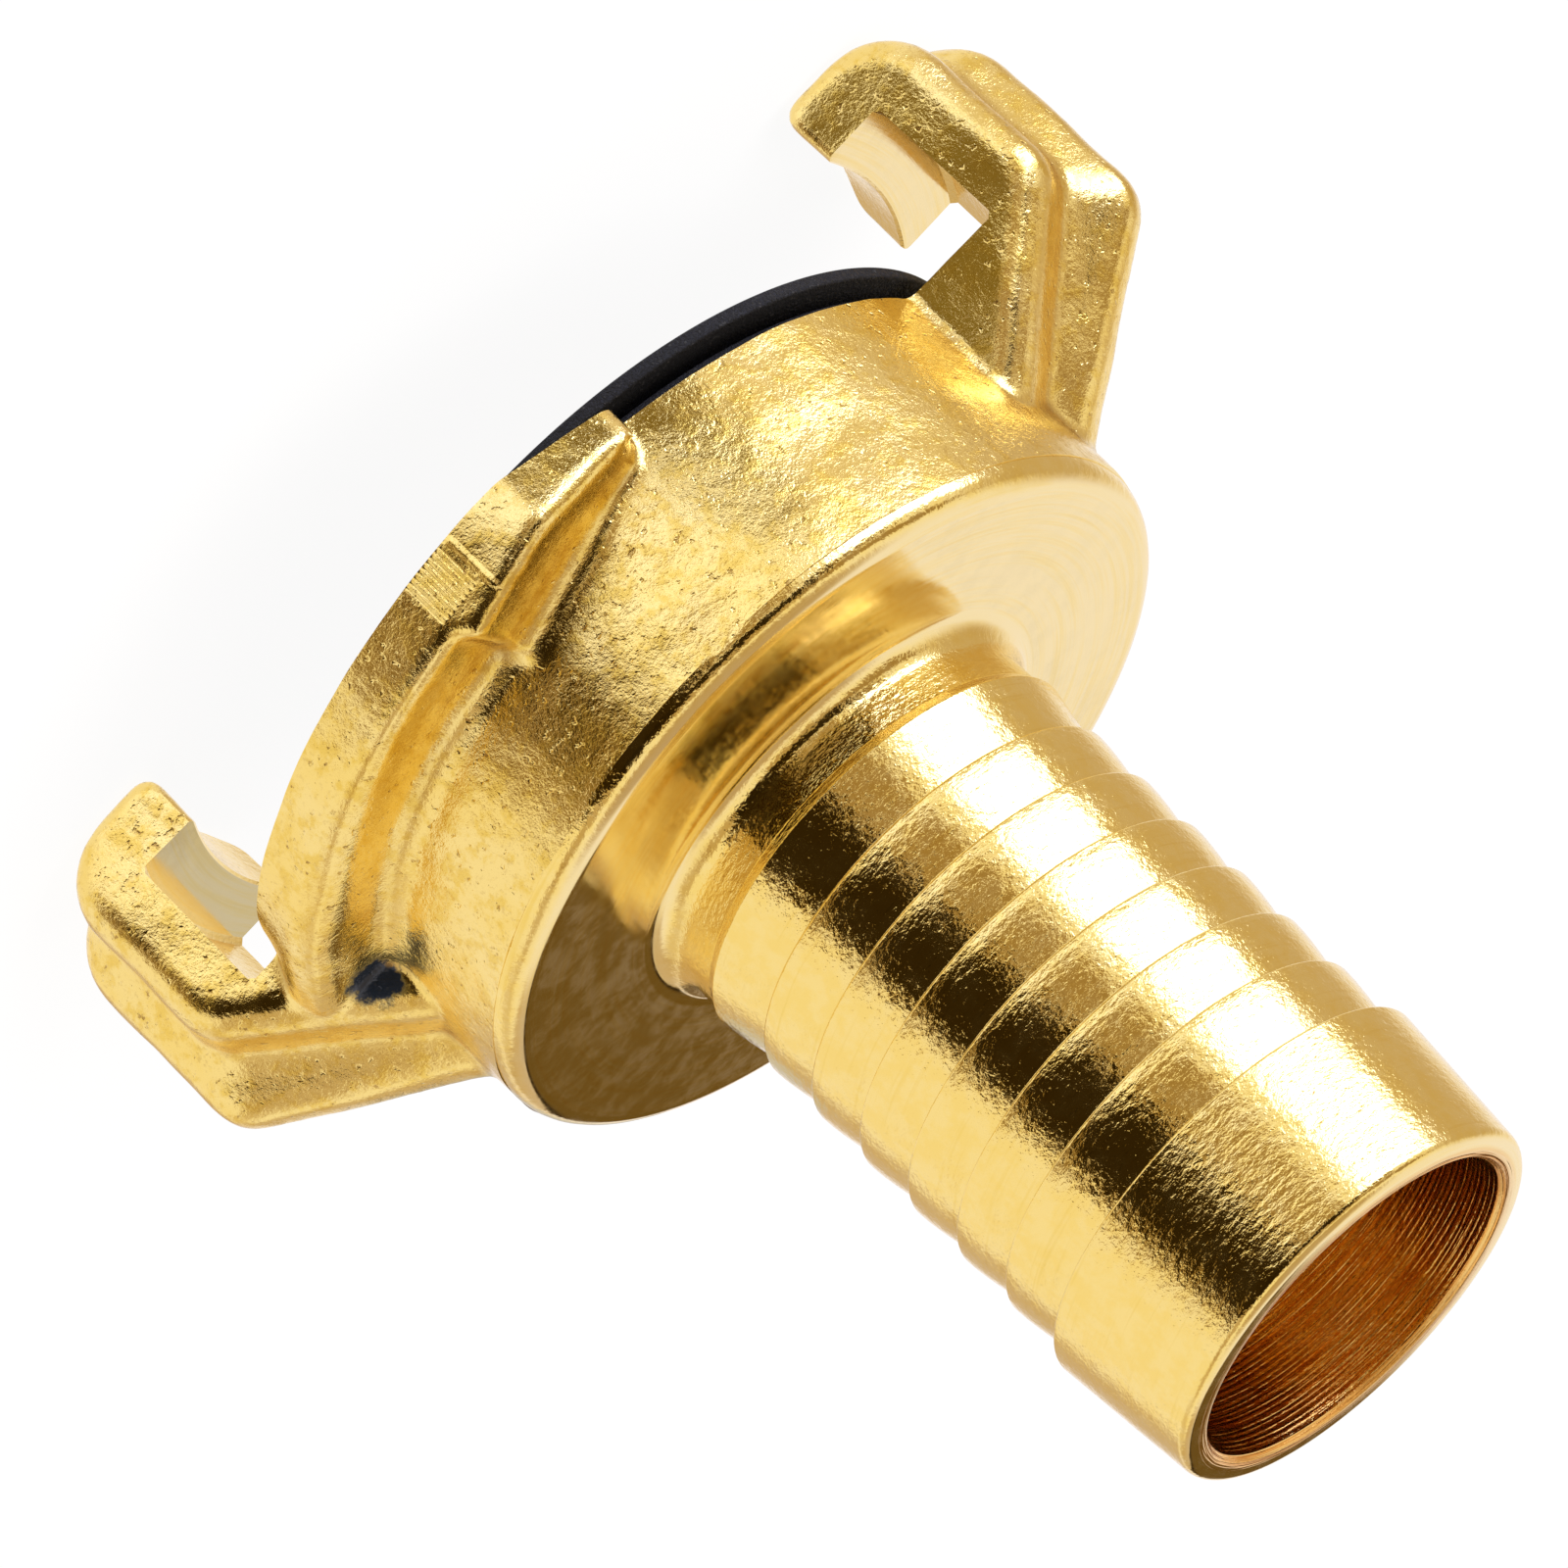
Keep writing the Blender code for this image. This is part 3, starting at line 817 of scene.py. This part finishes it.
def rubber():
    """Black rubber with pale dust specks and small pits."""
    material, n = new_material("black_rubber")
    place = n.place()
    specks = n.noise(place, *RUBBER_SPECKS)
    n.set("Base Color", n.mix(n.ramp(specks, *RUBBER_PALE_IN), RUBBER, RUBBER_PALE))
    n.set("Roughness", n.ramp(specks, *RUBBER_ROUGHNESS))
    n.set("Specular IOR Level", RUBBER_SHINE)
    normal = n.bump(specks, RUBBER_SPECK_RELIEF)
    n.set("Normal", n.bump(n.noise(place, *RUBBER_PITS), RUBBER_PIT_RELIEF, normal))
    return material


def glowing(name, base, colour, strength):
    """A matt material that gives off light."""
    material, n = new_material(name)
    n.set("Base Color", base)
    n.set("Emission Color", colour)
    n.set("Emission Strength", strength)
    n.set("Specular IOR Level", 0.0)
    return material, n


# ---------------------------------------------------------------- stage

# The camera, from the focal length and from where it stands and looks
SENSOR = 36.0
FOCAL_IN_FRAMES = 5.9971
CAMERA_PLACE = Vector((-2.540, -364.802, 175.654)) * MM
CAMERA_LOOK = Vector((0.00865, 0.91902, -0.39412))
CAMERA_UP = Vector((-0.71944, -0.26802, -0.64076))
CLIP_START = 0.01
CLIP_END = 20.0

# What the metal mirrors, over an even white: centre azimuth and elevation, half width and half height,
# soft edge (all in degrees), change of brightness, and how far a round patch leans (None for a square one)
WORLD_LEVEL = 1.0
DARKEST = 0.02
WORLD_PATCHES = (
    (-158.0, -5.0, 23.0, 11.0, 8.0, 3.2, None),
    (-156.0, -28.0, 26.0, 9.0, 8.0, -0.18, None),
    (-66.0, -1.0, 25.0, 20.0, 8.0, -0.97, 0.0),
    (-51.0, -25.0, 18.0, 9.0, 8.0, -0.72, None),
    (-40.0, 28.0, 21.0, 14.0, 10.0, -0.4, 0.4),
    (-91.0, 25.0, 40.0, 12.0, 5.0, -0.97, None),
    (-140.0, 17.0, 14.0, 5.0, 5.0, -0.7, None),
    (-100.0, 44.0, 26.0, 7.0, 8.0, -0.5, None),
    (-105.0, -2.0, 17.0, 10.0, 7.0, -0.62, None),
    (-107.0, -26.0, 24.0, 7.0, 6.0, 0.4, None),
    (-75.0, -44.0, 22.0, 10.0, 8.0, 0.2, None),
    (-155.0, 36.0, 28.0, 9.0, 6.0, -0.6, None),
    (0.0, 90.0, 181.0, 26.0, 14.0, -0.45, None),
    (-4.0, 30.0, 18.0, 10.0, 12.0, -0.32, None),
    (28.0, 10.0, 20.0, 10.0, 14.0, -0.2, None),
    (79.0, 22.0, 10.4, 20.0, 1.6, -0.85, None),
    (58.0, 20.0, 12.0, 20.0, 10.0, -0.35, None),
    (150.0, 0.0, 26.0, 32.0, 26.0, -0.38, None),
    (57.0, -20.0, 16.0, 13.0, 10.0, -0.35, None),
)
# Tints of what is mirrored: the level where a tint begins, the level where it is full, its colour
TINTS = (
    (1.0, 0.15, (1.0, 0.62, 0.16, 1.0)),
    (1.05, 1.7, (0.90, 1.05, 1.65, 1.0)),
)
WHITE = (1.0, 1.0, 1.0, 1.0)
MIRRORED_TINT = (1.0, 0.95, 0.99, 1.0)

# The pale floor glows, so shadows on it stay faint, and lies just below the claws' forged ends
FLOOR_SIZE = 6.0
FLOOR_DROP = 0.2 * MM
FLOOR_GREY = (0.10, 0.10, 0.10, 1.0)
FLOOR_GLOW = 0.93
FLOOR_ROUGHNESS = 0.9

# Cards close to the claws, in millimetres: one corner, the opposite corner, colour
CARDS = (
    ((-31.0, -33.0, -15.0), (-14.0, -33.0, 6.0), (0.22, 0.155, 0.05, 1.0)),
    ((17.0, 27.0, 9.0), (30.0, 27.0, 20.0), (0.64, 0.62, 0.66, 1.0)),
)

KEY_PLACE = Vector((-0.4, -0.3, 0.7))
KEY_SIZE = 0.5
KEY_POWER = 3.0


def camera():
    """The camera, where the photograph's stood."""
    data = bpy.data.cameras.new("camera")
    data.sensor_width = SENSOR
    data.lens = SENSOR * FOCAL_IN_FRAMES
    data.clip_start = CLIP_START
    data.clip_end = CLIP_END
    obj = bpy.data.objects.new("camera", data)
    bpy.context.scene.collection.objects.link(obj)
    back = -CAMERA_LOOK.normalized()
    right = CAMERA_UP.cross(back).normalized()
    up = back.cross(right)
    turn = Matrix((right, up, back)).transposed()
    obj.matrix_world = Matrix.Translation(CAMERA_PLACE) @ turn.to_4x4()
    bpy.context.scene.camera = obj


def in_patch(n, azimuth, elevation, centre, half_width, half_height, soft, lean):
    """How far a direction lies inside a patch, from 0 beyond its soft edge to 1."""
    turn = n.math("WRAP", n.math("SUBTRACT", azimuth, centre[0]), 180.0, -180.0)
    rise = n.math("SUBTRACT", elevation, centre[1])
    if lean is None:
        across = n.fade(n.math("ABSOLUTE", turn), half_width, soft)
        return n.math("MULTIPLY", across, n.fade(n.math("ABSOLUTE", rise), half_height, soft))
    across = n.math("DIVIDE", n.math("MULTIPLY_ADD", rise, -lean, turn), half_width)
    up = n.math("DIVIDE", rise, half_height)
    reach = n.math("ADD", n.math("MULTIPLY", across, across), n.math("MULTIPLY", up, up))
    return n.fade(n.math("SQRT", reach), 1.0, soft / half_width)


def studio_world():
    """A white studio all round, with brighter and darker patches for the metal to mirror."""
    world = bpy.data.worlds.new("studio")
    bpy.context.scene.world = world
    world.use_nodes = True
    world.node_tree.nodes.clear()
    n = Nodes(world.node_tree)
    x, y, z = n.add("ShaderNodeSeparateXYZ", {0: n.add("ShaderNodeTexCoord").outputs["Generated"]}).outputs
    azimuth = n.math("DEGREES", n.math("ARCTAN2", y, x))
    elevation = n.math("DEGREES", n.math("ARCSINE", z))
    level = WORLD_LEVEL
    for at, height, half_width, half_height, soft, change, lean in WORLD_PATCHES:
        inside = in_patch(n, azimuth, elevation, (at, height), half_width, half_height, soft, lean)
        level = n.math("MULTIPLY_ADD", inside, change, level)
    level = n.math("MAXIMUM", level, DARKEST)
    seen = n.add("ShaderNodeLightPath").outputs["Is Camera Ray"]
    level = n.add("ShaderNodeMix", {0: seen, 2: level, 3: WORLD_LEVEL}, data_type="FLOAT").outputs[0]
    tint = WHITE
    for low, high, end in TINTS:
        tint = n.mix(n.ramp(level, low, high, smooth=False), tint, end)
    tint = n.mix(n.math("SUBTRACT", 1.0, seen), tint, MIRRORED_TINT, "MULTIPLY")
    background = n.add("ShaderNodeBackground", {"Color": tint, "Strength": level})
    n.add("ShaderNodeOutputWorld", {"Surface": background.outputs[0]})


def floor():
    """The pale floor, which the metal doesn't mirror."""
    bpy.ops.mesh.primitive_plane_add(size=FLOOR_SIZE)
    obj = bpy.context.object
    obj.name = "floor"
    obj.location.z = -FLOOR_DROP
    material, n = glowing("pale_floor", FLOOR_GREY, WHITE, FLOOR_GLOW)
    n.set("Roughness", FLOOR_ROUGHNESS)
    obj.data.materials.append(material)
    obj.visible_glossy = False
    obj.visible_shadow = False


def claw_cards():
    """A dark card and a pale one that only the claws mirror, as a photographer sets them close by."""
    for i, (first, last, colour) in enumerate(CARDS):
        bm = bmesh.new()
        corners = (first, (*last[:2], first[2]), last, (*first[:2], last[2]))
        bm.faces.new([bm.verts.new(corner) for corner in corners])
        obj = mesh_object(f"card_{i}", bm)
        obj.data.transform(TO_METRES)
        material, _ = glowing(obj.name, BLACK, colour, 1.0)
        obj.data.materials.append(material)
        obj.visible_camera = False
        obj.visible_diffuse = False
        obj.visible_shadow = False


def key_light():
    """A soft light from above that the metal doesn't mirror."""
    data = bpy.data.lights.new("key", "AREA")
    data.shape = "SQUARE"
    data.size = KEY_SIZE
    data.energy = KEY_POWER
    obj = bpy.data.objects.new("key", data)
    bpy.context.scene.collection.objects.link(obj)
    obj.location = KEY_PLACE
    obj.rotation_euler = (-KEY_PLACE).to_track_quat("-Z", "Y").to_euler()
    obj.visible_glossy = False


def finish_piece(obj, node):
    """Brings a piece to metres, shades it and puts it in its CAD node's place."""
    obj.data.transform(TO_METRES)
    obj.data.shade_smooth()
    obj.data.set_sharp_from_angle(angle=SHARP_ANGLE)
    normals = obj.modifiers.new("Even shading", "WEIGHTED_NORMAL")
    normals.keep_sharp = True
    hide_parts(node)
    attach(obj, "root")


camera()
bpy.context.scene.view_settings.view_transform = "Standard"
studio_world()
floor()
claw_cards()
key_light()
finish_piece(coupling_body(), "coupling_body")
finish_piece(form_seal(), "form_seal")
